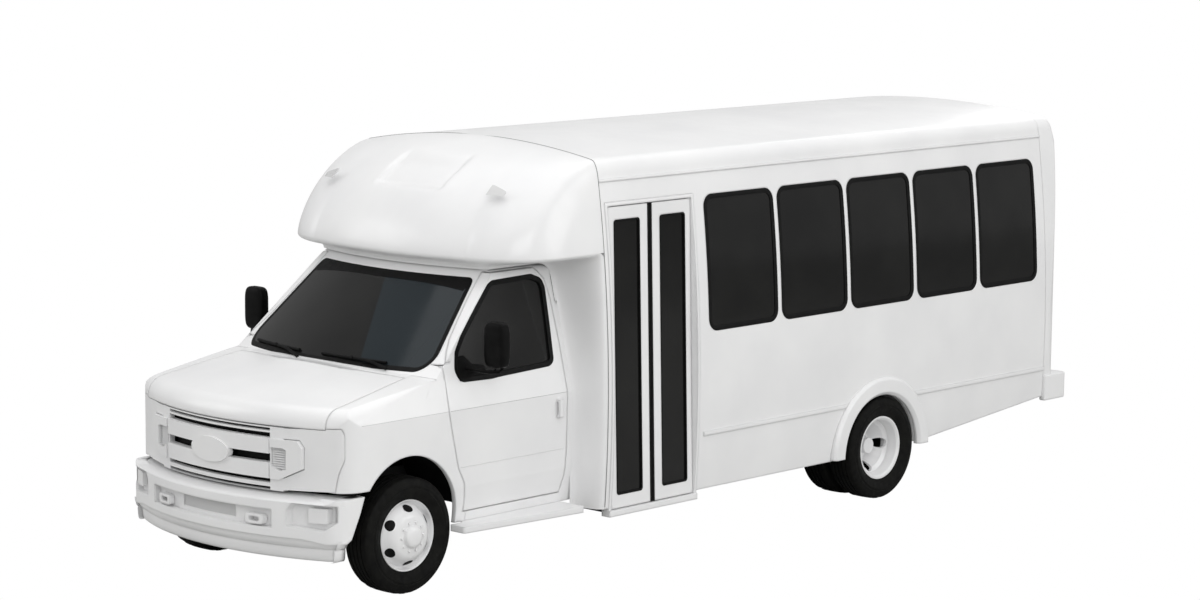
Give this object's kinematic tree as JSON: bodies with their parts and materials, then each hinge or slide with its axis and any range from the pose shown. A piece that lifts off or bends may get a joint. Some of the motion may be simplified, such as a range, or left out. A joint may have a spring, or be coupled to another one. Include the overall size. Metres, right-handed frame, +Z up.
{
  "type": "cutaway shuttle minibus",
  "caption": "Shuttle minibus: a barrel-sided passenger body with a twin-leaf entry door on a cutaway van cab and frame, twin rear wheels, opening doors and bonnet.",
  "frame": {"origin": "on the ground under the middle of the vehicle's overall length, on its centre plane", "axes": "+Z up, -Y towards the front of the vehicle, +X towards the vehicle's left side"},
  "size_m": [2.492, 7.65, 2.728],
  "materials": {
    "white_paint": "satin",
    "trim_white": "gloss",
    "frame_black": "satin",
    "steel": "satin",
    "black_plastic": "matte",
    "tyre_rubber": "matte",
    "rim_white": "gloss",
    "dark_glass": "gloss",
    "lamp_red": "gloss",
    "seat_fabric": "matte",
    "floor_grey": "matte"
  },
  "bodies": {
    "chassis": {"chassis_frame": "frame_black", "front_axle": "frame_black", "rear_axle": "frame_black", "leaf_springs": "frame_black", "driveshaft": "steel", "engine": "steel", "exhaust": "steel", "fuel_tank": "black_plastic", "radiator": "black_plastic", "cab_frame": "white_paint", "cab_floor": "floor_grey", "wings": "white_paint", "wheel_liners": "black_plastic", "grille": "trim_white", "headlamps": "trim_white", "front_bumper": "white_paint", "fog_lamps": "trim_white", "tow_hooks": "white_paint", "valance": "white_paint", "windscreen": "dark_glass", "running_boards": "white_paint", "front_cap": "white_paint", "front_corner_panels": "white_paint", "body_side_left": "white_paint", "body_side_right": "white_paint", "roof": "white_paint", "rear_cap": "white_paint", "window_glass": "dark_glass", "arch_flares": "white_paint", "entry_frame": "white_paint", "entry_steps": "floor_grey", "floor": "floor_grey", "rear_bumper": "white_paint", "tail_lamps": "lamp_red", "seats": "seat_fabric", "dashboard": "black_plastic"},
    "steer_left": {"knuckle_left": "frame_black"},
    "steer_right": {"knuckle_right": "frame_black"},
    "front_wheel_left": {"front_tyre_left": "tyre_rubber", "front_rim_left": "rim_white"},
    "front_wheel_right": {"front_tyre_right": "tyre_rubber", "front_rim_right": "rim_white"},
    "rear_wheels_left": {"rear_tyres_left": "tyre_rubber", "rear_rims_left": "rim_white"},
    "rear_wheels_right": {"rear_tyres_right": "tyre_rubber", "rear_rims_right": "rim_white"},
    "door_left": {"cab_door_left": "white_paint", "door_glass_left": "dark_glass", "door_mirror_left": "black_plastic"},
    "door_right": {"cab_door_right": "white_paint", "door_glass_right": "dark_glass", "door_mirror_right": "black_plastic"},
    "entry_front": {"entry_leaf_front": "white_paint", "entry_pane_front": "dark_glass"},
    "entry_rear": {"entry_leaf_rear": "white_paint", "entry_pane_rear": "dark_glass"},
    "hood": {"bonnet": "white_paint"},
    "exit_door": {"rear_door": "white_paint", "rear_door_glass": "dark_glass"}
  },
  "joints": [
    {"name": "steering_left", "type": "hinge", "parent": "chassis", "child": "steer_left", "pos_m": [0.735, -2.975, 0.372], "axis": [0, 0, 1], "range_deg": [-30, 30]},
    {"name": "steering_right", "type": "hinge", "parent": "chassis", "child": "steer_right", "pos_m": [-0.735, -2.975, 0.372], "axis": [0, 0, 1], "range_deg": [-30, 30]},
    {"name": "front_wheel_left_spin", "type": "hinge", "parent": "steer_left", "child": "front_wheel_left", "pos_m": [0.881, -2.975, 0.372], "axis": [1, 0, 0], "continuous": true},
    {"name": "front_wheel_right_spin", "type": "hinge", "parent": "steer_right", "child": "front_wheel_right", "pos_m": [-0.881, -2.975, 0.372], "axis": [1, 0, 0], "continuous": true},
    {"name": "rear_wheels_left_spin", "type": "hinge", "parent": "chassis", "child": "rear_wheels_left", "pos_m": [0.982, 1.495, 0.372], "axis": [1, 0, 0], "continuous": true},
    {"name": "rear_wheels_right_spin", "type": "hinge", "parent": "chassis", "child": "rear_wheels_right", "pos_m": [-0.982, 1.495, 0.372], "axis": [1, 0, 0], "continuous": true},
    {"name": "cab_door_left_hinge", "type": "hinge", "parent": "chassis", "child": "door_left", "pos_m": [1.0015, -2.63, 0.95], "axis": [0, 0, -1], "range_deg": [0, 65]},
    {"name": "cab_door_right_hinge", "type": "hinge", "parent": "chassis", "child": "door_right", "pos_m": [-1.0015, -2.63, 0.95], "axis": [0, 0, 1], "range_deg": [0, 65]},
    {"name": "entry_front_hinge", "type": "hinge", "parent": "chassis", "child": "entry_front", "pos_m": [1.1546, -1.337, 1.3285], "axis": [-0.0279, 0, 0.9996], "range_deg": [-85, 0]},
    {"name": "entry_rear_hinge", "type": "hinge", "parent": "chassis", "child": "entry_rear", "pos_m": [1.1546, -0.549, 1.3285], "axis": [-0.0279, 0, 0.9996], "range_deg": [0, 85]},
    {"name": "bonnet_hinge", "type": "hinge", "parent": "chassis", "child": "hood", "pos_m": [0, -2.825, 1.345], "axis": [-1, 0, 0], "range_deg": [0, 50]},
    {"name": "exit_door_hinge", "type": "hinge", "parent": "chassis", "child": "exit_door", "pos_m": [-0.42, 3.782, 1.58], "axis": [0, 0, 1], "range_deg": [0, 95]}
  ],
  "couplings": [
    {"joint": "steering_right", "follows": "steering_left", "ratio": 1},
    {"joint": "entry_rear_hinge", "follows": "entry_front_hinge", "ratio": -1}
  ]
}
